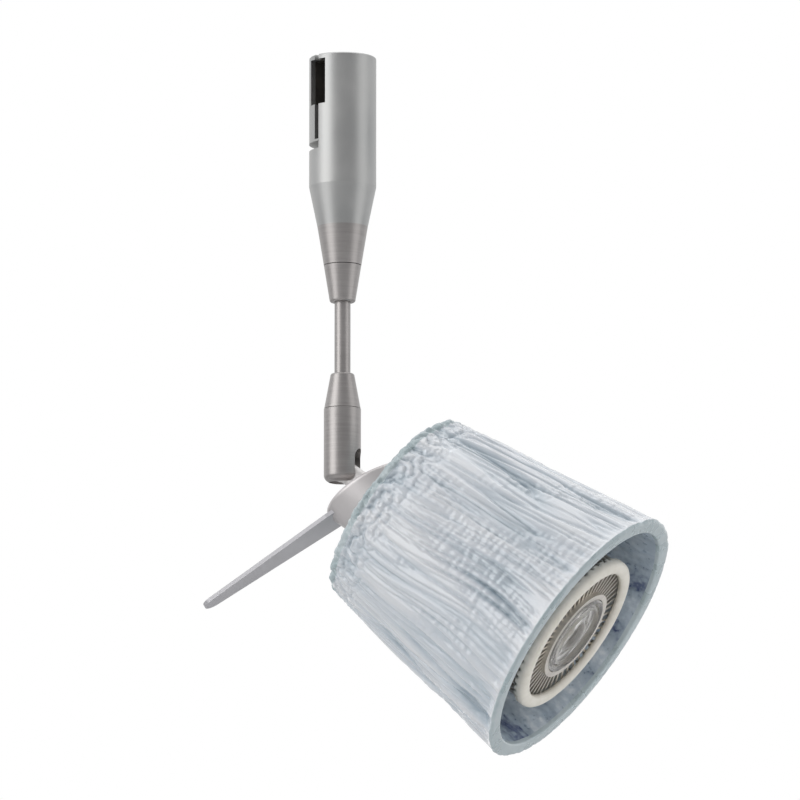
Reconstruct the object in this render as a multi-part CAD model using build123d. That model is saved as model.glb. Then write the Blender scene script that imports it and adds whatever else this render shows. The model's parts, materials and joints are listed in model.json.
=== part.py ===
from build123d import *
import os
from math import sqrt

# Low-voltage monorail spotlight head: a clamp that grips a flat rail, a swivelling stem,
# a ball knuckle, a satin cap with an aiming handle, a heavy glass shade and a plug-in lamp.
# Millimetres. +Z is up and +X runs along the rail. The origin is the centre of the rail
# window, on the stem's axis.

os.makedirs("parts", exist_ok=True)

# ---- driving dimensions -------------------------------------------------------------
rail_thickness = 6.35
rail_height = 12.7
connector_radius = 9.53
aim_azimuth = -55.0  # heading of the head about +Z, from +X, in degrees
aim_drop = 36.5  # how far the head's axis points below level, in degrees
pivot_z = -110.6
shade_back_radius = 30.2
shade_mouth_radius = 39.9
shade_back = 18.8  # every length along the head is measured from the pivot
shade_mouth = 86.4
shade_wall = 4.5
lamp_radius = 24.4
lamp_face = 85.2

# ---- clamp ---------------------------------------------------------------------------
window_half_width = rail_thickness / 2 + 0.025
window_half_height = rail_height / 2 + 0.15
parting_half_gap = 0.85
clamp_top = 7.9
clamp_shelf = -19.3
jaw_bottom = -17.2
cylinder_bottom = -29.5
connector_bottom = -41.0
connector_foot_radius = 7.14
liner_half_length = 7.4
liner_wall = 0.8
liner_lip = 0.6
contact_thickness = 0.4
contact_proud = 0.08
contact_leg_x = 3.4
contact_leg_width = 1.2
lead_radius = 0.55
lead_hole_radius = 0.9
lead_back_y = -4.2
lead_cavity_radius = 6.4
lead_cavity_top = -21.0
heel_height = 0.6
heel_reach = 0.75
screw_z = -12.0
screw_radius = 1.95
screw_head_radius = 3.4
screw_seat_y = 6.0
screw_head_height = 2.6
guide_pin_x = 5.0
guide_pin_radius = 1.0
running = 0.08  # radial clearance of a shaft in its hole

# ---- stem ----------------------------------------------------------------------------
tube_radius = 2.27
tube_bore = 1.45
tube_top = -44.0
thread_bore = tube_radius + 0.02
coupling_bottom = -52.0
coupling_foot_radius = 5.32
coupling_spigot_radius = 5.55
coupling_spigot_top = -33.2
coupling_cavity_radius = 3.7
coupling_floor = -48.0
seam = 0.2
collar_bottom = -62.7
collar_foot_radius = 3.58
stop_pin_radius = 0.4
stop_pin_z = -45.2
lock_cone_top = -83.2
lock_cone_top_radius = 3.31
housing_top = -93.3
housing_radius = 5.25
housing_bottom = -114.4
housing_edge = 2.1
housing_thread_radius = 4.5
spigot_bottom = -96.3
slot_half_width = 2.75
slot_top = -104.9
slot_back = 3.9
plug_top = -98.4
plug_bottom = -102.4
cup_top = -105.4
cup_bottom = -109.0

# ---- knuckle and cap -----------------------------------------------------------------
ball_radius = 3.7
tongue_height = 6.2
tongue_thickness = 5.0
tongue_corner = 2.0
step_start = 8.2
tongue_seat = 10.6
stud_radius = 2.9
stud_end = 16.2
cap_radius = 13.2
cap_front = 18.0
neck_radius = 10.6
neck_end = 32.5
cap_cavity_radius = 5.5
cap_cavity_start = 13.5
socket_ledge = 27.0
socket_bore_radius = 9.1
cap_back_sweep_radius = 110.0
cap_back_sweep_x = -43.0
cap_back_sweep_z = 109.9
handle_thickness = 1.1
handle_root_width = 15.0
handle_tip_width = 6.2
handle_length = 44.0
handle_insert = 6.0
handle_lean = 22.0  # degrees back from square to the head's axis
handle_exit = 6.4
handle_pin_radius = 0.9
handle_pin_y = 4.0
handle_pin_x = -9.6
handle_pin_end = 6.9

# ---- shade fixings, socket and lamp ---------------------------------------------------
gasket_thickness = 0.8
shade_hole_radius = 11.0
ring_radius = 15.5
ring_length = 3.5
ring_notches = 8
socket_radius = 8.9
socket_front = 37.6
pin_spacing = 5.33
pin_radius = 0.775
pin_tip = 30.5
lamp_back = 38.0
socket_screw_y = 6.6
socket_screw_radius = 1.0
fin_count = 48
fin_thickness = 0.7
lamp_core_start = 44.0
lamp_fin_front = 83.2
lamp_board_back = 80.7
bezel_bore = 20.5
lamp_lens_back = 82.5


# ---- helpers -------------------------------------------------------------------------
def turned(*points):
    """Solid of revolution about +Z from (radius, height) corners."""
    outline = Polyline(*[(r, 0, z) for r, z in points], close=True)
    return revolve(make_face(outline), Axis.Z)


def ring(outer, inner, low, high):
    """Plain ring between two heights."""
    return turned((inner, low), (outer, low), (outer, high), (inner, high))


def rod(radius, low, high):
    """Upright round rod between two heights."""
    return Pos(0, 0, (low + high) / 2) * Cylinder(radius, high - low)


def block(x_range, y_range, z_range):
    """Box given by its lowest and highest corner on each axis."""
    centre = [(low + high) / 2 for low, high in (x_range, y_range, z_range)]
    sides = [high - low for low, high in (x_range, y_range, z_range)]
    return Pos(*centre) * Box(*sides)


def rod_along_y(radius, x, z, low, high):
    """Round rod along Y between two Y positions."""
    return Pos(x, (low + high) / 2, z) * Rot(90, 0, 0) * Cylinder(radius, high - low)


def wire(radius, *points, bend):
    """Round wire along straight runs joined by arcs."""
    path = FilletPolyline(*points, radius=bend)
    start = Plane(origin=path @ 0, z_dir=path % 0)
    return sweep(start * Circle(radius), path=path)


def edges_at_height(shape, height):
    """Round edges of a turned piece that lie at one height."""
    return shape.edges().filter_by_position(Axis.Z, height - 0.01, height + 0.01)


HEAD = Pos(0, 0, pivot_z) * Rot(0, 0, aim_azimuth) * Rot(0, aim_drop, 0)
# Head pieces are drawn with +Z along the aim and +X towards the head's upper side.
HEAD_DRAWING = HEAD * Rot(0, 90, 0) * Rot(0, 0, 180)
ARM_DRAWING = Rot(0, 0, aim_azimuth)  # the swivel housing's slot faces the aim


# ---- clamp and connector ---------------------------------------------------------------
def window(side):
    """Half of the rail window, on the -1 or +1 side of the parting plane."""
    near = side * parting_half_gap
    far = side * window_half_width
    wide = (-12, 12)
    return block(wide, sorted((near, far)), (-window_half_height, window_half_height))


def liner_pocket(side):
    """Space behind the window's lips that the liner fills."""
    near = side * parting_half_gap
    far = side * (window_half_width + liner_wall)
    high = window_half_height + liner_lip
    return block((-liner_half_length, liner_half_length), sorted((near, far)), (-high, high))


def rail_contact(level, leg_side):
    """Strip on the window's top (+1) or bottom (-1) face with a leg down to its lead."""
    face = level * (window_half_height - contact_proud)
    back = level * (window_half_height - contact_proud + contact_thickness)
    rear_y = -(window_half_width + liner_wall)
    leg_centre = leg_side * contact_leg_x
    leg_x = (leg_centre - contact_leg_width / 2, leg_centre + contact_leg_width / 2)
    strip = block((-4.5, 4.5), (-2.9, -1.5), sorted((face, back)))
    tail = block(leg_x, (rear_y, -2.9), sorted((face, back)))
    leg_bottom = -(window_half_height + liner_lip)
    leg = block(leg_x, (rear_y, rear_y + contact_thickness), (leg_bottom, max(face, back)))
    return strip + tail + leg


def build_connector_body():
    shell = turned(
        (0, clamp_top),
        (connector_radius, clamp_top),
        (connector_radius, cylinder_bottom),
        (connector_foot_radius, connector_bottom),
        (0, connector_bottom),
    )
    shell = chamfer(edges_at_height(shell, clamp_top), 0.3)
    body = shell - block((-12, 12), (-parting_half_gap, 12), (clamp_shelf, 12))
    body -= window(-1)
    body -= liner_pocket(-1)
    body -= rod_along_y(screw_radius + running, 0, screw_z, -7.4, 0)
    for x in (-guide_pin_x, guide_pin_x):
        body -= rod_along_y(guide_pin_radius, x, screw_z, -5, 0)
    lead_top = -(window_half_height + liner_lip)
    for x in (-contact_leg_x, contact_leg_x):
        body -= Pos(x, lead_back_y, 0) * rod(lead_hole_radius, lead_cavity_top, lead_top)
    body -= rod(lead_cavity_radius, coupling_spigot_top, lead_cavity_top)
    body -= rod(coupling_spigot_radius, connector_bottom, coupling_spigot_top)
    return body


def build_rail_jaw():
    drum = rod(connector_radius, jaw_bottom, clamp_top)
    drum = chamfer(edges_at_height(drum, clamp_top), 0.3)
    jaw = drum & block((-12, 12), (parting_half_gap, 12), (-30, 30))
    jaw -= window(1)
    jaw -= liner_pocket(1)
    jaw += drum & block((-12, 12), (-heel_reach, parting_half_gap), (jaw_bottom, jaw_bottom + heel_height))
    jaw -= rod_along_y(screw_radius + 0.2, 0, screw_z, 0, 12)
    jaw -= rod_along_y(screw_head_radius + 0.3, 0, screw_z, screw_seat_y, 12)
    for x in (-guide_pin_x, guide_pin_x):
        jaw -= rod_along_y(guide_pin_radius + running, x, screw_z, 0, 7.3)
    return jaw


def build_jaw_screw():
    head_end = screw_seat_y + screw_head_height
    screw = rod_along_y(screw_head_radius, 0, screw_z, screw_seat_y, head_end)
    screw += rod_along_y(screw_radius, 0, screw_z, -6.6, screw_seat_y)
    hex_key = Plane(origin=(0, head_end, screw_z), z_dir=(0, -1, 0)) * RegularPolygon(1.45, 6)
    return screw - extrude(hex_key, 1.5)


def build_guide_pins():
    return [rod_along_y(guide_pin_radius, x, screw_z, -5, 7.0) for x in (-guide_pin_x, guide_pin_x)]


def build_rail_contacts():
    return [rail_contact(1, 1), rail_contact(-1, -1)]


def build_rail_liner():
    liner = liner_pocket(-1) - window(-1)
    for contact in build_rail_contacts():
        liner -= contact
    return liner


def build_jaw_liner():
    return liner_pocket(1) - window(1)


def build_connector_leads():
    top = -(window_half_height + liner_lip)
    leads = []
    for side in (-1, 1):
        x = side * contact_leg_x
        low_x = side * 0.75
        route = [(x, lead_back_y, top), (x, lead_back_y, -21.5), (low_x, 0, -31), (low_x, 0, -43.2)]
        leads.append(wire(lead_radius, *route, bend=3.0))
    return leads


# ---- pan joint and stem ------------------------------------------------------------------
def build_coupling_cone():
    cone = turned(
        (coupling_cavity_radius, coupling_spigot_top),
        (coupling_spigot_radius, coupling_spigot_top),
        (coupling_spigot_radius, connector_bottom),
        (connector_foot_radius, connector_bottom),
        (coupling_foot_radius, coupling_bottom),
        (tube_radius + running, coupling_bottom),
        (tube_radius + running, coupling_floor),
        (coupling_cavity_radius, coupling_floor),
    )
    return cone - build_stop_pin()


def build_stop_pin():
    """Pin that the flange nut's lug meets at each end of the swivel, opposite the aim."""
    length = 5.6 - 3.15
    pin = Pos(-(3.15 + length / 2), 0, stop_pin_z) * Rot(0, 90, 0) * Cylinder(stop_pin_radius, length)
    return ARM_DRAWING * pin


def build_flange_nut():
    nut = ring(2.95, thread_bore, -46.2, tube_top)
    nut += ring(3.4, thread_bore, -47.6, -46.2)
    lug = ring(3.5, 2.8, -46.2, tube_top) & block((2.5, 4), (-0.3, 0.3), (-47, -43))
    return ARM_DRAWING * (nut + lug)


def build_stem_collar():
    top = coupling_bottom - seam
    collar = turned(
        (thread_bore, top),
        (coupling_foot_radius - 0.03, top),
        (collar_foot_radius, collar_bottom),
        (thread_bore, collar_bottom),
    )
    foot = edges_at_height(collar, collar_bottom).sort_by(Edge.length)[-1]
    return fillet(foot, 0.7)


def build_stem_leads():
    return [Pos(x, 0, 0) * rod(lead_radius, -106.6, -43.6) for x in (-0.72, 0.72)]


def build_lock_cone():
    cone = turned(
        (thread_bore, lock_cone_top),
        (lock_cone_top_radius, lock_cone_top),
        (housing_radius - 0.1, housing_top + 0.1),
        (housing_radius - 0.25, housing_top),
        (housing_thread_radius, housing_top),
        (housing_thread_radius, spigot_bottom),
        (thread_bore, spigot_bottom),
    )
    brow = edges_at_height(cone, lock_cone_top).sort_by(Edge.length)[-1]
    return fillet(brow, 0.7)


def build_swivel_housing():
    socket_radius_inside = ball_radius + running
    shell = rod(housing_radius, housing_bottom, housing_top)
    shell = fillet(edges_at_height(shell, housing_bottom), housing_edge)
    shell = chamfer(edges_at_height(shell, housing_top), 0.15)
    shell -= rod(housing_thread_radius, spigot_bottom, housing_top)
    shell -= rod(socket_radius_inside, pivot_z, spigot_bottom)
    shell -= Pos(0, 0, pivot_z) * Sphere(socket_radius_inside)
    front = block((0, 7), (-slot_half_width, slot_half_width), (-116, slot_top - slot_half_width))
    front += Pos(3.5, 0, slot_top - slot_half_width) * Rot(0, 90, 0) * Cylinder(slot_half_width, 7)
    under_end = slot_half_width - slot_back
    under = block((under_end, 7), (-slot_half_width, slot_half_width), (-116, pivot_z))
    under += Pos(under_end, 0, 0) * rod(slot_half_width, -116, pivot_z)
    return ARM_DRAWING * (shell - front - under)


def build_tension_plug():
    plug = ring(ball_radius, 1.6, plug_bottom, plug_top)
    slot = block((-5, 5), (-0.5, 0.5), (plug_top - 1, plug_top))
    return plug - slot


def build_disc_springs():
    """Four dished washers stacked mouth to mouth between the plug and the cup."""
    pitch = (plug_bottom - cup_top) / 4
    springs = []
    for i in range(4):
        base = cup_top + i * pitch
        inner_z, outer_z = (base + pitch - 0.35, base) if i % 2 == 0 else (base, base + pitch - 0.35)
        springs.append(turned((1.7, inner_z), (3.5, outer_z), (3.5, outer_z + 0.35), (1.7, inner_z + 0.35)))
    return springs


def build_friction_cup():
    cup = ring(ball_radius, 1.5, cup_bottom, cup_top)
    cup -= Pos(0, 0, pivot_z) * Sphere(ball_radius + running)
    cup -= block((0, 5), (-slot_half_width, slot_half_width), (-112, -107.2))
    return ARM_DRAWING * cup


# ---- knuckle, cap and handle -------------------------------------------------------------
def cap_back_bound():
    """Large round whose near side is the cap's slanted, slightly crowned back face."""
    drum = Rot(90, 0, 0) * Cylinder(cap_back_sweep_radius, 60)
    return Pos(cap_back_sweep_x, 0, cap_back_sweep_z) * drum


def tongue(grow, start, end):
    """Rounded flat bar along the head's axis."""
    outline = RectangleRounded(tongue_height + grow, tongue_thickness + grow, tongue_corner)
    return Pos(0, 0, start) * extrude(outline, end - start)


def handle_blank(start, end):
    """Tapered blade lying between two distances from where it leaves the cap."""
    root = handle_root_width / 2
    tip = handle_tip_width / 2
    taper = (root - tip) / handle_length
    corner_at = end - tip
    outline = Polyline(
        (start, -root),
        (0, -root),
        (corner_at, -root + taper * corner_at),
        (corner_at, root - taper * corner_at),
        (0, root),
        (start, root),
        close=True,
    )
    blade = extrude(make_face(outline), handle_thickness / 2, both=True)
    blade += Pos(corner_at, 0, 0) * Cylinder(root - taper * corner_at, handle_thickness)
    lean = Pos(-cap_radius, 0, handle_exit) * Rot(0, 180 - handle_lean, 0)
    return lean * blade


def build_knuckle():
    ball = Sphere(ball_radius)
    ball -= block((-1.2, 5), (-1.3, 1.3), (-5, 1.2))
    knuckle = ball + (tongue(0, 1.2, tongue_seat) - Sphere(1.6))
    knuckle += tongue(0.8, step_start, tongue_seat)
    knuckle += rod(stud_radius, tongue_seat, stud_end)
    return knuckle - rod(1.25, 0, stud_end)


def build_knuckle_nut():
    nut = Pos(0, 0, cap_cavity_start) * extrude(RegularPolygon(4.6, 6), stud_end - 0.4 - cap_cavity_start)
    return nut - rod(stud_radius + 0.02, cap_cavity_start, stud_end)


def handle_pins():
    pin = rod(handle_pin_radius, handle_pin_end, cap_front)
    return [Pos(handle_pin_x, y, 0) * pin for y in (-handle_pin_y, handle_pin_y)]


def build_head_cap():
    drum = rod(cap_radius, 0, cap_front) & cap_back_bound()
    rim = drum.edges().filter_by(GeomType.CIRCLE, reverse=True).sort_by(Edge.length)[-1]
    cap = fillet(rim, 1.2)
    cap += rod(neck_radius, cap_front - 1, neck_end)
    cap -= rod(cap_cavity_radius, cap_cavity_start, socket_ledge)
    cap -= rod(socket_bore_radius, socket_ledge, neck_end)
    cap -= rod(stud_radius + 0.02, 0, cap_cavity_start)
    cap -= tongue(0.8, 0, tongue_seat)
    cap -= handle_blank(-handle_insert, handle_length)
    for pin in handle_pins():
        cap -= pin
    for y in (-socket_screw_y, socket_screw_y):
        cap -= Pos(0, y, 0) * rod(socket_screw_radius, 20.5, socket_ledge)
    return cap


def build_aiming_handle():
    handle = handle_blank(-handle_insert, handle_length)
    for pin in handle_pins():
        handle -= pin
    return handle


# ---- shade, socket and lamp --------------------------------------------------------------
def build_glass_shade():
    slope = (shade_mouth_radius - shade_back_radius) / (shade_mouth - shade_back)
    wall = shade_wall * sqrt(1 + slope * slope)
    inner_back = shade_back + shade_wall
    inner_back_radius = shade_back_radius + slope * shade_wall - wall
    shade = turned(
        (shade_hole_radius, shade_back),
        (shade_back_radius, shade_back),
        (shade_mouth_radius, shade_mouth),
        (shade_mouth_radius - wall, shade_mouth),
        (inner_back_radius, inner_back),
        (shade_hole_radius, inner_back),
    )
    shade = fillet(edges_at_height(shade, shade_back).sort_by(Edge.length)[-1], 2.5)
    shade = fillet(edges_at_height(shade, inner_back).sort_by(Edge.length)[-1], 3.0)
    return fillet(edges_at_height(shade, shade_mouth), 0.9)


def build_retaining_ring():
    low = shade_back + shade_wall + gasket_thickness
    nut = ring(ring_radius, neck_radius + 0.02, low, low + ring_length)
    for i in range(ring_notches):
        notch = block((ring_radius - 1.2, ring_radius + 1), (-1, 1), (low + 1, low + ring_length + 1))
        nut -= Rot(0, 0, i * 360 / ring_notches) * notch
    return nut


def both_pins(shape):
    """The same shape at each of the lamp's two pin positions."""
    return [Pos(0, y, 0) * shape for y in (-pin_spacing / 2, pin_spacing / 2)]


def build_lamp_socket():
    socket = rod(socket_radius, socket_ledge, socket_front)
    socket = fillet(edges_at_height(socket, socket_front), 0.6)
    for hole in both_pins(rod(pin_radius + 0.15, socket_ledge, socket_front)):
        socket -= hole
    for pocket in both_pins(rod(1.6, socket_ledge, 33.0)):
        socket -= pocket
    for y in (-socket_screw_y, socket_screw_y):
        socket -= Pos(0, y, 0) * rod(socket_screw_radius + 0.1, socket_ledge, socket_front)
        socket -= Pos(0, y, 0) * rod(1.9, 35.7, socket_front)
    return socket


def build_socket_contacts():
    return both_pins(ring(1.58, pin_radius + running, 28.4, 33.0))


def build_socket_screws():
    screw = rod(socket_screw_radius, 20.7, 35.7) + rod(1.8, 35.7, 37.1)
    screw -= block((-0.25, 0.25), (-2, 2), (36.6, 37.2))
    return [Pos(0, y, 0) * screw for y in (-socket_screw_y, socket_screw_y)]


def build_socket_leads():
    leads = []
    for side in (-1, 1):
        bore_y = side * 0.62
        clip_y = side * pin_spacing / 2
        route = [(0, bore_y, 0.4), (0, bore_y, 17.5), (0, clip_y, 23.5), (0, clip_y, 28.4)]
        leads.append(wire(lead_radius, *route, bend=2.5))
    return leads


def build_lamp_heat_sink():
    core = turned((0, lamp_core_start), (8.2, lamp_core_start), (12.6, lamp_board_back), (0, lamp_board_back))
    outline = Plane.XZ * Polyline(
        (7.5, lamp_core_start),
        (12.5, lamp_core_start),
        (20.5, 62),
        (23.4, 76),
        (23.4, lamp_fin_front),
        (12.4, lamp_fin_front),
        (7.5, lamp_core_start + 3),
        close=True,
    )
    fin = extrude(make_face(outline), fin_thickness / 2, both=True)
    sink = core + [Rot(0, 0, i * 360 / fin_count) * fin for i in range(fin_count)]
    return sink + ring(13.8, 12.2, 79, lamp_face - 0.6)


def build_lamp_bezel():
    bezel = turned(
        (bezel_bore, lamp_fin_front),
        (lamp_radius - 0.5, lamp_fin_front - 1.4),
        (lamp_radius, lamp_fin_front - 0.9),
        (lamp_radius, lamp_face - 1.0),
        (lamp_radius - 1.2, lamp_face),
        (bezel_bore + 0.8, lamp_face),
        (bezel_bore, lamp_face - 0.7),
    )
    return bezel - build_lamp_heat_sink()


def build_lamp_lens():
    return turned(
        (0, lamp_lens_back),
        (12.1, lamp_lens_back),
        (12.1, lamp_face - 0.5),
        (5.0, lamp_face - 0.9),
        (4.2, lamp_face),
        (0, lamp_face + 0.6),
    )


def build_lamp_led_board():
    return rod(10.5, lamp_board_back, 81.7) + rod(3.0, 81.7, 82.3)


def build_lamp_driver_housing():
    base = turned((0, lamp_back), (7.6, lamp_back), (8.2, lamp_core_start), (0, lamp_core_start))
    for pin in both_pins(rod(pin_radius, lamp_back, lamp_back + 3)):
        base -= pin
    return base


def build_lamp_pins():
    pin = rod(pin_radius, pin_tip, lamp_back + 3)
    pin = chamfer(edges_at_height(pin, pin_tip), 0.25)
    return both_pins(pin)


# ---- write every piece -------------------------------------------------------------------
def write(name, shapes, place=Pos(0, 0, 0)):
    group = shapes if isinstance(shapes, list) else [shapes]
    solids = [place * solid for shape in group for solid in shape.solids()]
    export_step(solids[0] if len(solids) == 1 else Compound(children=solids), f"parts/{name}.step")


glass_inside = shade_back + shade_wall
ring_seat = glass_inside + gasket_thickness
write("connector_body", build_connector_body())
write("rail_jaw", build_rail_jaw())
write("jaw_screw", build_jaw_screw())
write("guide_pins", build_guide_pins())
write("rail_liner", build_rail_liner())
write("jaw_liner", build_jaw_liner())
write("rail_contacts", build_rail_contacts())
write("connector_leads", build_connector_leads())
write("coupling_cone", build_coupling_cone())
write("stop_pin", build_stop_pin())
write("flange_nut", build_flange_nut())
write("thrust_washer", ring(3.4, tube_radius + 0.1, -47.9, -47.6))
write("stem_collar", build_stem_collar())
write("stem_tube", ring(tube_radius, tube_bore, spigot_bottom, tube_top))
write("stem_leads", build_stem_leads())
write("lock_cone", build_lock_cone())
write("swivel_housing", build_swivel_housing())
write("tension_plug", build_tension_plug())
write("disc_springs", build_disc_springs())
write("friction_cup", build_friction_cup())
write("knuckle", build_knuckle(), HEAD_DRAWING)
write("knuckle_nut", build_knuckle_nut(), HEAD_DRAWING)
write("head_cap", build_head_cap(), HEAD_DRAWING)
write("aiming_handle", build_aiming_handle(), HEAD_DRAWING)
write("handle_pins", handle_pins(), HEAD_DRAWING)
write("outer_gasket", ring(13.0, neck_radius + 0.05, cap_front, shade_back), HEAD_DRAWING)
write("inner_gasket", ring(14.6, neck_radius + 0.05, glass_inside, ring_seat), HEAD_DRAWING)
write("retaining_ring", build_retaining_ring(), HEAD_DRAWING)
write("glass_shade", build_glass_shade(), HEAD_DRAWING)
write("lamp_socket", build_lamp_socket(), HEAD_DRAWING)
write("socket_contacts", build_socket_contacts(), HEAD_DRAWING)
write("socket_screws", build_socket_screws(), HEAD_DRAWING)
write("socket_leads", build_socket_leads(), HEAD_DRAWING)
write("lamp_heat_sink", build_lamp_heat_sink(), HEAD_DRAWING)
write("lamp_bezel", build_lamp_bezel(), HEAD_DRAWING)
write("lamp_lens", build_lamp_lens(), HEAD_DRAWING)
write("lamp_led_board", build_lamp_led_board(), HEAD_DRAWING)
write("lamp_driver_housing", build_lamp_driver_housing(), HEAD_DRAWING)
write("lamp_pins", build_lamp_pins(), HEAD_DRAWING)
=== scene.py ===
import json
from math import cos, pi, radians, sin

import bpy
from mathutils import Matrix, Vector, noise


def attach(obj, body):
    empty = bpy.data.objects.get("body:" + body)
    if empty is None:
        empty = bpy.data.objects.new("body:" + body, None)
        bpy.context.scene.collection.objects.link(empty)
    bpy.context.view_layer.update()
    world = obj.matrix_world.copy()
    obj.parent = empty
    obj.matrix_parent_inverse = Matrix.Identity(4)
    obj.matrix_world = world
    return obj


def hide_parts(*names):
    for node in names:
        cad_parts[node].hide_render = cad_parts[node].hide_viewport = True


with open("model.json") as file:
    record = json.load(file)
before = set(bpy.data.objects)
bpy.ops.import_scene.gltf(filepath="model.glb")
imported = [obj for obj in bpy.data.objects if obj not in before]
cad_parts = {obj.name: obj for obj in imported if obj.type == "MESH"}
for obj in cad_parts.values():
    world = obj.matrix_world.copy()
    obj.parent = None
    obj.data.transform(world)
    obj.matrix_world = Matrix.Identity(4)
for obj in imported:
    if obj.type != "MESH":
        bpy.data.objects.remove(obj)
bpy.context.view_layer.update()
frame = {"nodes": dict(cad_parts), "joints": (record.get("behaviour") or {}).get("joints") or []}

MM = 0.001

# ---- where the head is, from the joints ----------------------------------------------
joints = {joint["name"]: joint for joint in frame["joints"]}
PIVOT = Vector(joints["head_tilt"]["pos_m"])
AIM = Vector(joints["lamp_pull"]["axis"]).normalized()
SIDE = Vector(joints["head_tilt"]["axis"]).normalized()
UPPER = AIM.cross(SIDE)


def head_point(around, radius, along):
    """Point at an angle and radius about the head's axis, at a distance from the pivot."""
    return PIVOT + AIM * along + (UPPER * cos(around) + SIDE * sin(around)) * radius


# ---- sizes in millimetres, as in the CAD ----------------------------------------------
SHADE_BACK = 18.8
SHADE_MOUTH = 86.4
SHADE_BACK_RADIUS = 30.2
SHADE_MOUTH_RADIUS = 39.9
SHADE_WALL = 4.54  # thickness of the side, square to the axis
SHADE_FLOOR = 4.5  # thickness of the back
SHADE_HOLE = 11.0
LAMP_FACE = 85.2
LAMP_RADIUS = 24.4
BEZEL_BORE = 20.5
BEZEL_BACK = 81.8
LENS_BACK = 82.5
LENS_RADIUS = 12.05
FIN_COUNT = 48


# ---- camera -----------------------------------------------------------------------------
CAMERA_AZIMUTH = radians(-39.0)
CAMERA_ELEVATION = radians(-10.0)
CAMERA_DISTANCE = 2.6
FRAME_WIDTH = 0.2275
CAMERA_TARGET = Vector((0.0224, 0.0018, -0.0880))


def make_camera():
    data = bpy.data.cameras.new("camera")
    camera = bpy.data.objects.new("camera", data)
    bpy.context.scene.collection.objects.link(camera)
    towards = Vector((
        sin(CAMERA_AZIMUTH) * cos(CAMERA_ELEVATION),
        -cos(CAMERA_AZIMUTH) * cos(CAMERA_ELEVATION),
        sin(CAMERA_ELEVATION),
    ))
    camera.location = CAMERA_TARGET + towards * CAMERA_DISTANCE
    camera.rotation_euler = towards.to_track_quat("Z", "Y").to_euler()
    data.sensor_width = 36.0
    data.lens = data.sensor_width * CAMERA_DISTANCE / FRAME_WIDTH
    data.clip_end = 50.0
    bpy.context.scene.camera = camera
    return towards


TOWARDS_CAMERA = make_camera()


# ---- mesh helpers -----------------------------------------------------------------------
def new_piece(name, points, faces, body, nodes):
    mesh = bpy.data.meshes.new(name)
    mesh.from_pydata([tuple(p) for p in points], [], faces)
    mesh.validate()
    mesh.update()
    mesh.shade_smooth()
    piece = bpy.data.objects.new(name, mesh)
    bpy.context.scene.collection.objects.link(piece)
    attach(piece, body)
    if nodes:
        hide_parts(*nodes)
    return piece


def ring_faces(rows, count, closed):
    """Quads between rows of a turned mesh; a closed outline joins its last row to its first."""
    faces = []
    last = rows if closed else rows - 1
    for i in range(last):
        low = i * count
        high = ((i + 1) % rows) * count
        for j in range(count):
            k = (j + 1) % count
            faces.append((low + j, high + j, high + k, low + k))
    return faces


def turned_points(outline, count, shape=None):
    """Points of an outline of (radius, along) in millimetres turned about the head's axis."""
    points = []
    for radius, along in outline:
        for j in range(count):
            around = 2 * pi * j / count
            r, z = shape(radius, along, around) if shape else (radius, along)
            points.append(head_point(around, r * MM, z * MM))
    return points


# ---- material helpers ---------------------------------------------------------------------
NOISE_LOW = 0.3  # most of a noise falls between these two
NOISE_HIGH = 0.7
EVEN = (1, 1, 1)  # a noise that isn't stretched


def new_material(name):
    material = bpy.data.materials.new(name)
    material.use_nodes = True
    tree = material.node_tree
    shader = tree.nodes["Principled BSDF"]
    return material, tree, shader


def add(tree, kind, **inputs):
    node = tree.nodes.new(kind)
    for key, value in inputs.items():
        node.inputs[key.replace("_", " ")].default_value = value
    return node


def noise_field(tree, scale, stretch=EVEN, detail=4.0, turn=(0, 0, 0)):
    """Noise in the piece's own frame, stretched along chosen axes."""
    coords = tree.nodes.new("ShaderNodeTexCoord")
    mapping = tree.nodes.new("ShaderNodeMapping")
    mapping.vector_type = "TEXTURE"
    mapping.inputs["Rotation"].default_value = turn
    mapping.inputs["Scale"].default_value = stretch
    field = add(tree, "ShaderNodeTexNoise", Scale=scale, Detail=detail)
    tree.links.new(coords.outputs["Object"], mapping.inputs["Vector"])
    tree.links.new(mapping.outputs["Vector"], field.inputs["Vector"])
    return field


def ramp(tree, source, stops):
    node = tree.nodes.new("ShaderNodeValToRGB")
    elements = node.color_ramp.elements
    while len(elements) < len(stops):
        elements.new(0.5)
    for element, (place, colour) in zip(elements, stops):
        element.position = place
        element.color = (*colour, 1.0)
    tree.links.new(source, node.inputs["Fac"])
    return node


def colour_by(tree, shader, source, stops):
    """Base colour from a ramp over a source."""
    tone = ramp(tree, source, stops)
    tree.links.new(tone.outputs["Color"], shader.inputs["Base Color"])


def tint_by(tree, shader, source, dark, light):
    """Base colour from dark to light over a noise."""
    colour_by(tree, shader, source, [(NOISE_LOW, dark), (NOISE_HIGH, light)])


def roughen_by(tree, shader, source, low, high):
    """Roughness from low to high over a noise."""
    node = tree.nodes.new("ShaderNodeMapRange")
    node.inputs["From Min"].default_value = NOISE_LOW
    node.inputs["From Max"].default_value = NOISE_HIGH
    node.inputs["To Min"].default_value = low
    node.inputs["To Max"].default_value = high
    tree.links.new(source, node.inputs["Value"])
    tree.links.new(node.outputs["Result"], shader.inputs["Roughness"])


def mix(tree, first, second, factor):
    """Blend of two values; a factor of 1 is all the second."""
    node = add(tree, "ShaderNodeMix", Factor=factor)
    tree.links.new(first, node.inputs["A"])
    tree.links.new(second, node.inputs["B"])
    return node.outputs["Result"]


def bump(tree, shader, source, strength, distance, under=None):
    node = add(tree, "ShaderNodeBump", Strength=strength, Distance=distance)
    tree.links.new(source, node.inputs["Height"])
    if under:
        tree.links.new(under.outputs["Normal"], node.inputs["Normal"])
    tree.links.new(node.outputs["Normal"], shader.inputs["Normal"])
    return node


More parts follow.
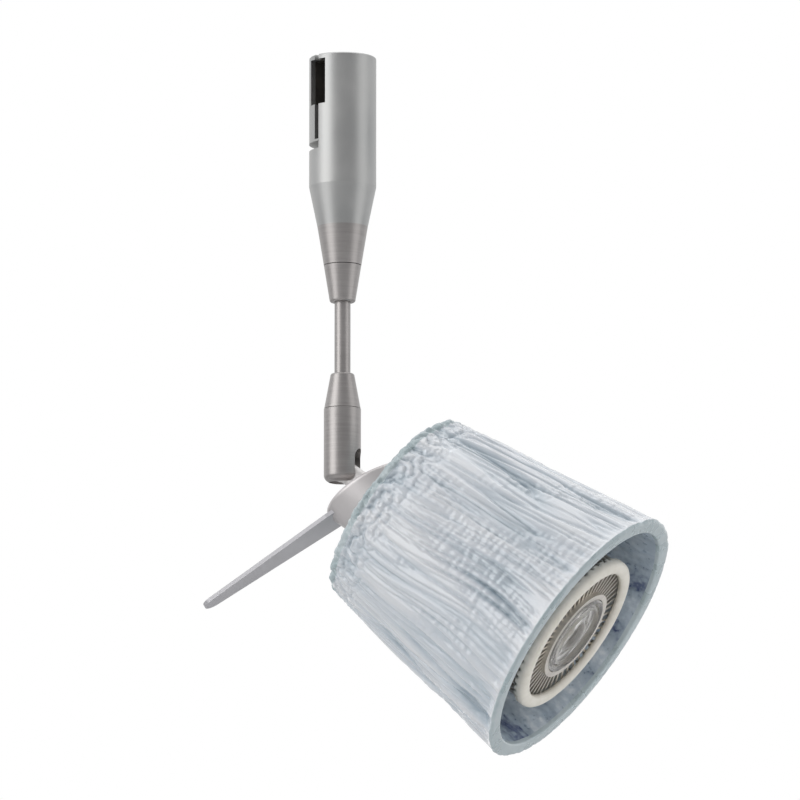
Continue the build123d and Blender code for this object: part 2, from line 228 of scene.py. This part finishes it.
def metal(name, dark, light, roughness, grain, strength,
          stretch=EVEN, turn=(0, 0, 0), clouding=0.8, metallic=1.0):
    """Satin or brushed metal: fine grain or streaks under soft clouding."""
    material, tree, shader = new_material(name)
    shader.inputs["Metallic"].default_value = metallic
    streaks = noise_field(tree, grain, stretch, 3.0, turn)
    clouds = noise_field(tree, 60.0, EVEN, 3.0)
    mixed = mix(tree, streaks.outputs["Fac"], clouds.outputs["Fac"], clouding)
    tint_by(tree, shader, mixed, dark, light)
    roughen_by(tree, shader, mixed, roughness - 0.05, roughness + 0.07)
    bump(tree, shader, streaks.outputs["Fac"], strength, 0.00002)
    return material


def plastic(name, dark, light, roughness, scale, strength):
    """Moulded plastic, ceramic or rubber with a faint grain."""
    material, tree, shader = new_material(name)
    grain = noise_field(tree, scale, EVEN, 5.0)
    tint_by(tree, shader, grain.outputs["Fac"], dark, light)
    roughen_by(tree, shader, grain.outputs["Fac"], roughness - 0.05, roughness + 0.08)
    bump(tree, shader, grain.outputs["Fac"], strength, 0.00005)
    return material


HEAD_TURN = Matrix((AIM, SIDE, UPPER)).transposed().to_euler()
ROUND_STEM = (9.0, 9.0, 0.35)  # streaks run round the stem
ALONG_HEAD = (6.0, 1.0, 1.0)  # streaks run along the head's axis

SATIN = metal("satin_alloy", (0.37, 0.375, 0.37), (0.47, 0.47, 0.46), 0.42, 5200.0, 0.10, metallic=0.9)
CAP_SATIN = metal("cap_satin", (0.50, 0.48, 0.475), (0.63, 0.605, 0.60), 0.42, 5200.0, 0.12, metallic=0.85)
BRUSHED = metal("brushed_nickel", (0.32, 0.305, 0.295), (0.43, 0.41, 0.40),
                0.40, 900.0, 0.30, ROUND_STEM, clouding=0.45)
CAST = metal("cast_nickel", (0.62, 0.60, 0.59), (0.80, 0.78, 0.76), 0.44, 1400.0, 0.5, metallic=0.7)
BLADE = metal("handle_satin", (0.44, 0.435, 0.45), (0.55, 0.545, 0.56), 0.44, 5200.0, 0.10, metallic=0.85)
STEEL = metal("plain_steel", (0.38, 0.38, 0.39), (0.55, 0.55, 0.55), 0.32, 2500.0, 0.2)
BRASS = metal("contact_brass", (0.50, 0.36, 0.15), (0.66, 0.50, 0.26), 0.30, 2500.0, 0.2)
DARK = plastic("dark_insulator", (0.018, 0.015, 0.012), (0.04, 0.034, 0.026), 0.55, 500.0, 0.2)
SLEEVE = plastic("lead_sleeve", (0.50, 0.48, 0.42), (0.66, 0.64, 0.58), 0.5, 400.0, 0.1)
SILICONE = plastic("silicone", (0.55, 0.56, 0.55), (0.70, 0.71, 0.69), 0.45, 300.0, 0.1)
RING_METAL = metal("ring_nickel", (0.42, 0.42, 0.42), (0.58, 0.58, 0.58), 0.33, 2500.0, 0.2)
CERAMIC = plastic("socket_ceramic", (0.70, 0.67, 0.60), (0.84, 0.82, 0.76), 0.6, 700.0, 0.3)
FINS = metal("heat_sink_alloy", (0.66, 0.62, 0.56), (0.90, 0.86, 0.79),
             0.34, 900.0, 0.25, ALONG_HEAD, HEAD_TURN, clouding=0.5)
IVORY = plastic("lamp_ivory", (0.74, 0.71, 0.62), (0.83, 0.80, 0.72), 0.42, 350.0, 0.08)
BOARD = plastic("led_board", (0.70, 0.69, 0.62), (0.84, 0.83, 0.78), 0.4, 500.0, 0.1)
PINS = metal("pin_metal", (0.60, 0.60, 0.59), (0.80, 0.80, 0.79), 0.18, 2500.0, 0.1)

CAD_MATERIALS = {
    "connector_body": SATIN, "rail_jaw": SATIN, "head_cap": CAP_SATIN,
    "coupling_cone": BRUSHED, "stem_collar": BRUSHED, "stem_tube": BRUSHED,
    "lock_cone": BRUSHED, "swivel_housing": BRUSHED,
    "knuckle": CAST, "aiming_handle": BLADE, "retaining_ring": RING_METAL,
    "jaw_screw": STEEL, "guide_pins": STEEL, "stop_pin": STEEL, "flange_nut": STEEL,
    "tension_plug": STEEL, "disc_springs": STEEL, "knuckle_nut": STEEL,
    "handle_pins": STEEL, "socket_screws": STEEL,
    "rail_contacts": BRASS, "socket_contacts": BRASS, "thrust_washer": BRASS,
    "rail_liner": DARK, "jaw_liner": DARK, "friction_cup": DARK,
    "connector_leads": SLEEVE, "stem_leads": SLEEVE, "socket_leads": SLEEVE,
    "outer_gasket": SILICONE, "inner_gasket": SILICONE,
    "lamp_socket": CERAMIC, "lamp_heat_sink": FINS, "lamp_driver_housing": IVORY,
    "lamp_led_board": BOARD, "lamp_pins": PINS,
}


def dress_cad_nodes():
    for name, material in CAD_MATERIALS.items():
        mesh = frame["nodes"][name].data
        mesh.materials.clear()
        mesh.materials.append(material)


dress_cad_nodes()


# ---- glass shade --------------------------------------------------------------------------
SHADE_COUNT = 600
SHADE_ROWS = 210
RIB_RADIUS = 34.0  # the ribs keep their number from the back to the mouth
SHOULDER = 2.6  # roundings of the edges
LIP = 0.9
INNER_LIP = 0.6
INNER_CORNER = 3.0

# Noise over the glass: width and length of its cells in millimetres, and a seed.
SWAY = (17.0, 38.0, 1.7)
VIGOUR = (24.0, 55.0, 27.9)
RIBS = (4.4, 62.0, 3.1)
STREAKS = (2.0, 34.0, 9.7)
SWELL = (11.0, 30.0, 17.3)
PATCHES = (13.0, 20.0, 51.0)
RIPPLES = (3.6, 1.4, 61.0)
BUBBLES = (3.4, 3.4, 71.0)
SEEDS = (1.5, 1.5, 81.0)
DIMPLES = (4.0, 4.0, 91.0)
WAVES = (5.0, 30.0, 41.0)
FLAWS = (1.8, 3.2, 47.0)

# Depths of the relief in millimetres.
RIB_DEPTH = 1.05
STREAK_DEPTH = 0.55
SWELL_DEPTH = 0.75
RIPPLE_DEPTH = 0.22
BUBBLE_DEPTH = 0.85
SEED_DEPTH = 0.6
WAVE_DEPTH = 0.55
FLAW_DEPTH = 0.20


def outer_radius(along):
    """Radius of the shade's uncarved outside, which is the CAD solid's."""
    share = (along - SHADE_BACK) / (SHADE_MOUTH - SHADE_BACK)
    return SHADE_BACK_RADIUS + share * (SHADE_MOUTH_RADIUS - SHADE_BACK_RADIUS)


def ease(value):
    """Smooth step from nothing at 0 to one at 1."""
    value = max(0.0, min(1.0, value))
    return value * value * (3 - 2 * value)


def field(around, along, width, length, seed):
    """Smooth noise over the glass, in cells of a width and a length in millimetres."""
    reach = RIB_RADIUS / width
    return noise.noise(Vector((cos(around) * reach, sin(around) * reach, along / length + seed)))


def crease(value, sharpness, power):
    """One along the lines where a noise crosses zero, falling to nothing beside them."""
    return max(0.0, 1 - abs(value) * sharpness) ** power


def carve(around, along):
    """Depth in millimetres of the cast relief: long ribs, fine streaks, cross ripples and a bubbly back."""
    turn = around + 0.10 * field(around, along, *SWAY)
    vigour = 0.45 + 0.85 * ease(0.5 + 1.6 * field(around, along, *VIGOUR))
    ribs = RIB_DEPTH * vigour * crease(field(turn, along, *RIBS), 4.2, 1.4)
    streaks = STREAK_DEPTH * crease(field(turn, along, *STREAKS), 3.6, 1.4)
    swell = 0.5 + field(around, along, *SWELL)
    patch = ease(4.0 * field(around, along, *PATCHES) - 0.2)
    ripples = RIPPLE_DEPTH * patch * (0.5 + field(turn, along, *RIPPLES))
    back = ease((SHADE_BACK + 17 - along) / 13)
    bubbles = BUBBLE_DEPTH * crease(field(around, along, *BUBBLES), 3.0, 1.2)
    bubbles = back * (bubbles + SEED_DEPTH * abs(field(around, along, *SEEDS)))
    depth = SWELL_DEPTH * swell + (ribs + streaks) * (1 - 0.45 * back) + ripples + bubbles
    calm = 0.35 + 0.65 * ease((SHADE_MOUTH - 0.5 - along) / 3.5)
    return max(0.0, depth * calm)


def arc(radius, along, size, start, end, steps):
    """Points round part of a circle, with angles in degrees from outward towards the mouth."""
    angles = [radians(start + (end - start) * i / steps) for i in range(steps + 1)]
    return [(radius + size * cos(angle), along + size * sin(angle)) for angle in angles]


def line(start, end, steps):
    """Points along a straight line, without its last one."""
    shares = [i / steps for i in range(steps)]
    across = end[0] - start[0]
    forward = end[1] - start[1]
    return [(start[0] + across * share, start[1] + forward * share) for share in shares]


def shade_rows():
    """(zone, radius, along) rows: across the back, down the outside, round the rim and up the inside."""
    top = SHADE_BACK + SHOULDER
    low = SHADE_MOUTH - LIP
    rim_radius = outer_radius(SHADE_MOUTH)
    inner_rim = rim_radius - SHADE_WALL + INNER_LIP
    inner_back = SHADE_BACK + SHADE_FLOOR
    corner = outer_radius(inner_back + INNER_CORNER) - SHADE_WALL
    back = line((SHADE_HOLE, SHADE_BACK), (outer_radius(top) - SHOULDER, SHADE_BACK), 24)
    shoulder = arc(outer_radius(top) - SHOULDER, top, SHOULDER, -90, 0, 10)
    outside = line((outer_radius(top), top), (outer_radius(low), low), SHADE_ROWS)[1:]
    rim = arc(rim_radius - LIP, low, LIP, 0, 90, 5)
    rim += line((rim_radius - LIP, SHADE_MOUTH), (inner_rim, SHADE_MOUTH), 5)[1:]
    rim += arc(inner_rim, SHADE_MOUTH - INNER_LIP, INNER_LIP, 90, 180, 4)
    inner_mouth = (rim_radius - SHADE_WALL, SHADE_MOUTH - INNER_LIP)
    inside = line(inner_mouth, (corner, inner_back + INNER_CORNER), 70)[1:]
    inside += arc(corner - INNER_CORNER, inner_back + INNER_CORNER, INNER_CORNER, 0, -90, 5)
    inside += line((corner - INNER_CORNER, inner_back), (SHADE_HOLE, inner_back), 6)[1:]
    inside.append((SHADE_HOLE, inner_back))
    zones = [("back", back), ("edge", shoulder), ("outer", outside), ("rim", rim), ("inner", inside)]
    return [(zone, radius, along) for zone, rows in zones for radius, along in rows]


def relief(zone, around, radius, along):
    """How far a point of the shade moves towards the axis and towards the mouth, in millimetres."""
    if zone == "back":
        wall = ease((radius - 20.0) / 7.0)
        dimples = ease((radius - 15.0) / 4.0) * (0.4 + field(around, radius, *DIMPLES))
        return wall * carve(around, along), max(0.0, dimples)
    if zone in ("edge", "outer"):
        return carve(around, along), 0.0
    if zone == "rim":
        outward = ease((radius - outer_radius(SHADE_MOUTH) + SHADE_WALL) / SHADE_WALL)
        return outward * carve(around, SHADE_MOUTH), 0.0
    waves = WAVE_DEPTH * field(around, along, *WAVES) + FLAW_DEPTH * field(around, along, *FLAWS)
    return waves * ease((SHADE_MOUTH - along) / 4.0) * ease((radius - 22.0) / 4.0), 0.0


def make_shade():
    rows = shade_rows()
    points = []
    depths = []
    for zone, radius, along in rows:
        for j in range(SHADE_COUNT):
            around = 2 * pi * j / SHADE_COUNT
            inward, forward = relief(zone, around, radius, along)
            points.append(head_point(around, (radius - inward) * MM, (along + forward) * MM))
            depths.append(inward)
    faces = ring_faces(len(rows), SHADE_COUNT, True)
    piece = new_piece("ribbed_glass_shade", points, faces, "head", ["glass_shade"])
    attribute = piece.data.attributes.new("carved", "FLOAT", "POINT")
    attribute.data.foreach_set("value", depths)
    for material in (ice_glass(), edge_glass(), frosted_glass()):
        piece.data.materials.append(material)
    material_of = {"outer": 0, "back": 1, "edge": 1, "rim": 1, "inner": 2}
    for i, polygon in enumerate(piece.data.polygons):
        polygon.material_index = material_of[rows[i // SHADE_COUNT][0]]


def ice_glass():
    """Cast glass, milky blue-white on its ribs and greyer in its grooves, with a wet gloss; the grey in the
    grooves is painted shade that deepens with the carved depth.
    """
    material, tree, shader = new_material("ice_glass")
    carved = tree.nodes.new("ShaderNodeAttribute")
    carved.attribute_name = "carved"
    veils = noise_field(tree, 150.0, (5.0, 1.0, 1.0), 5.0, HEAD_TURN)
    # Painted shade: the colour darkens with the carved depth, so the grooves come out greyer than the ribs.
    painted_groove_shade = tree.nodes.new("ShaderNodeMapRange")
    painted_groove_shade.inputs["From Min"].default_value = 0.2
    painted_groove_shade.inputs["From Max"].default_value = 2.1
    tree.links.new(carved.outputs["Fac"], painted_groove_shade.inputs["Value"])
    mixed = mix(tree, painted_groove_shade.outputs["Result"], veils.outputs["Fac"], 0.5)
    colour_by(tree, shader, mixed, [
        (0.22, (0.96, 0.98, 1.0)), (0.42, (0.84, 0.89, 0.94)),
        (0.58, (0.68, 0.76, 0.82)), (0.78, (0.42, 0.51, 0.58)),
    ])
    roughen_by(tree, shader, veils.outputs["Fac"], 0.08, 0.22)
    shader.inputs["Transmission Weight"].default_value = 0.32
    shader.inputs["IOR"].default_value = 1.5
    shader.inputs["Coat Weight"].default_value = 0.9
    shader.inputs["Coat Roughness"].default_value = 0.05
    ripples = noise_field(tree, 700.0, (7.0, 1.0, 1.0), 3.0, HEAD_TURN)
    seeds = noise_field(tree, 1500.0, EVEN, 2.0)
    first = bump(tree, shader, ripples.outputs["Fac"], 0.6, 0.0004)
    bump(tree, shader, seeds.outputs["Fac"], 0.2, 0.0001, first)
    return material


def edge_glass():
    """Ground edges of the same glass: satin, grey-green and a little darker."""
    material, tree, shader = new_material("glass_edge")
    veils = noise_field(tree, 160.0, EVEN, 4.0)
    tint_by(tree, shader, veils.outputs["Fac"], (0.45, 0.55, 0.57), (0.60, 0.68, 0.70))
    roughen_by(tree, shader, veils.outputs["Fac"], 0.22, 0.38)
    shader.inputs["Transmission Weight"].default_value = 0.25
    shader.inputs["Coat Weight"].default_value = 0.3
    bump(tree, shader, veils.outputs["Fac"], 0.2, 0.0003)
    return material


def frosted_glass():
    """Inside of the shade: frosted blue-grey with darker streaks along the axis and small flakes."""
    material, tree, shader = new_material("frosted_glass")
    streaks = noise_field(tree, 110.0, (3.0, 1.0, 1.0), 4.0, HEAD_TURN)
    flakes = noise_field(tree, 520.0, EVEN, 6.0)
    mixed = mix(tree, streaks.outputs["Fac"], flakes.outputs["Fac"], 0.35)
    colour_by(tree, shader, mixed, [
        (0.36, (0.10, 0.13, 0.24)), (0.44, (0.36, 0.44, 0.52)),
        (0.56, (0.52, 0.60, 0.67)), (0.68, (0.84, 0.89, 0.93)),
    ])
    roughen_by(tree, shader, flakes.outputs["Fac"], 0.24, 0.45)
    shader.inputs["Transmission Weight"].default_value = 0.2
    first = bump(tree, shader, streaks.outputs["Fac"], 0.5, 0.0008)
    bump(tree, shader, flakes.outputs["Fac"], 0.35, 0.0003, first)
    return material


make_shade()


# ---- lamp front ---------------------------------------------------------------------------
POINTS_PER_FIN = 10
NOTCH_DEPTH = 0.75
LENS_COUNT = 96


def make_bezel():
    """Moulded ring with rounded lips and a notch in its back edge beside each fin."""
    outline = [
        (BEZEL_BORE, BEZEL_BACK + 1.6), (23.6, BEZEL_BACK + 1.4), (LAMP_RADIUS - 0.9, BEZEL_BACK),
        (LAMP_RADIUS - 0.25, BEZEL_BACK), (LAMP_RADIUS, BEZEL_BACK + 0.4),
        (LAMP_RADIUS, LAMP_FACE - 1.5), (LAMP_RADIUS - 0.2, LAMP_FACE - 0.8),
        (LAMP_RADIUS - 0.7, LAMP_FACE - 0.3), (LAMP_RADIUS - 1.4, LAMP_FACE),
        (BEZEL_BORE + 1.2, LAMP_FACE), (BEZEL_BORE + 0.5, LAMP_FACE - 0.2),
        (BEZEL_BORE + 0.1, LAMP_FACE - 0.7),
    ]

    def notched(radius, along, around):
        if radius < LAMP_RADIUS - 1 or along > BEZEL_BACK + 0.5:
            return radius, along
        phase = (around * FIN_COUNT / (2 * pi)) % 1.0
        return radius, along + (NOTCH_DEPTH if 0.3 < phase < 0.7 else 0.0)

    count = FIN_COUNT * POINTS_PER_FIN
    piece = new_piece("lamp_bezel_ring", turned_points(outline, count, notched),
                      ring_faces(len(outline), count, True), "lamp", ["lamp_bezel"])
    piece.data.materials.append(IVORY)


def clear_lens():
    material, tree, shader = new_material("lamp_clear")
    shader.inputs["Transmission Weight"].default_value = 0.9
    shader.inputs["IOR"].default_value = 1.49
    veils = noise_field(tree, 240.0, EVEN, 3.0)
    tint_by(tree, shader, veils.outputs["Fac"], (0.80, 0.78, 0.74), (0.93, 0.92, 0.90))
    roughen_by(tree, shader, veils.outputs["Fac"], 0.05, 0.16)
    bump(tree, shader, veils.outputs["Fac"], 0.12, 0.0003)
    return material


def make_lens():
    """Clear moulded lens with two raised rings and a dome over the chip."""
    outline = [
        (0.01, LENS_BACK), (9.0, LENS_BACK), (11.9, LENS_BACK),
        (LENS_RADIUS, LENS_BACK + 0.4), (LENS_RADIUS, LAMP_FACE - 0.9),
        (11.9, LAMP_FACE - 0.35), (11.3, LAMP_FACE - 0.15), (10.7, LAMP_FACE - 0.35),
        (10.5, LAMP_FACE - 0.9), (10.0, LAMP_FACE - 0.95), (9.7, LAMP_FACE - 0.5),
        (9.1, LAMP_FACE - 0.35), (8.6, LAMP_FACE - 0.7), (8.0, LAMP_FACE - 1.15),
        (5.4, LAMP_FACE - 1.25), (4.7, LAMP_FACE - 0.9), (4.1, LAMP_FACE - 0.2),
        (3.2, LAMP_FACE + 0.25), (1.8, LAMP_FACE + 0.5), (0.6, LAMP_FACE + 0.58), (0.01, LAMP_FACE + 0.6),
    ]
    piece = new_piece("lamp_front_lens", turned_points(outline, LENS_COUNT),
                      ring_faces(len(outline), LENS_COUNT, True), "lamp", ["lamp_lens"])
    piece.data.materials.append(clear_lens())


make_bezel()
make_lens()


# ---- studio -------------------------------------------------------------------------------
FRONT = Vector((TOWARDS_CAMERA.x, TOWARDS_CAMERA.y, 0)).normalized()
FLOOR_REACH = 6.0
FLOOR_HEIGHT = -0.95


def area_light(name, place, aim, size, power):
    data = bpy.data.lights.new(name, "AREA")
    data.shape = "RECTANGLE"
    data.size, data.size_y = size
    data.energy = power
    lamp = bpy.data.objects.new(name, data)
    bpy.context.scene.collection.objects.link(lamp)
    lamp.location = place
    lamp.rotation_euler = (Vector(place) - Vector(aim)).to_track_quat("Z", "Y").to_euler()


def make_lights():
    centre = CAMERA_TARGET
    right = Vector((cos(CAMERA_AZIMUTH), sin(CAMERA_AZIMUTH), 0))
    up = Vector((0, 0, 1))
    area_light("key_left", centre - right * 1.0 + FRONT * 0.55 + up * 0.45, centre, (0.9, 1.4), 8)
    area_light("fill_right", centre + right * 1.1 + FRONT * 0.35 + up * 0.2, centre, (0.8, 1.4), 3)
    area_light("top_soft", centre + up * 1.2 - FRONT * 0.1, centre, (1.2, 1.2), 5)


def make_floor():
    mesh = bpy.data.meshes.new("floor")
    corners = [(-1, -1), (1, -1), (1, 1), (-1, 1)]
    points = [(x * FLOOR_REACH, y * FLOOR_REACH, FLOOR_HEIGHT) for x, y in corners]
    mesh.from_pydata(points, [], [(0, 1, 2, 3)])
    floor = bpy.data.objects.new("floor", mesh)
    bpy.context.scene.collection.objects.link(floor)
    paper, _, shader = new_material("floor_paper")
    shader.inputs["Base Color"].default_value = (0.86, 0.86, 0.86, 1)
    shader.inputs["Roughness"].default_value = 0.9
    mesh.materials.append(paper)


def make_sky():
    """Grey behind the camera, for the metal to mirror, up to white behind the part."""
    world = bpy.data.worlds.new("studio")
    bpy.context.scene.world = world
    world.use_nodes = True
    sky = world.node_tree
    background = sky.nodes["Background"]
    coords = sky.nodes.new("ShaderNodeTexCoord")
    split = sky.nodes.new("ShaderNodeVectorMath")
    split.operation = "DOT_PRODUCT"
    split.inputs[1].default_value = tuple(-FRONT)
    sky.links.new(coords.outputs["Generated"], split.inputs[0])
    gradient = ramp(sky, split.outputs["Value"], [
        (0.0, (0.44, 0.44, 0.45)), (0.45, (0.88, 0.89, 0.91)), (0.97, (1.0, 1.0, 1.0)),
    ])
    sky.links.new(gradient.outputs["Color"], background.inputs["Color"])
    background.inputs["Strength"].default_value = 1.0
    bpy.context.scene.view_settings.view_transform = "Standard"


make_lights()
make_floor()
make_sky()
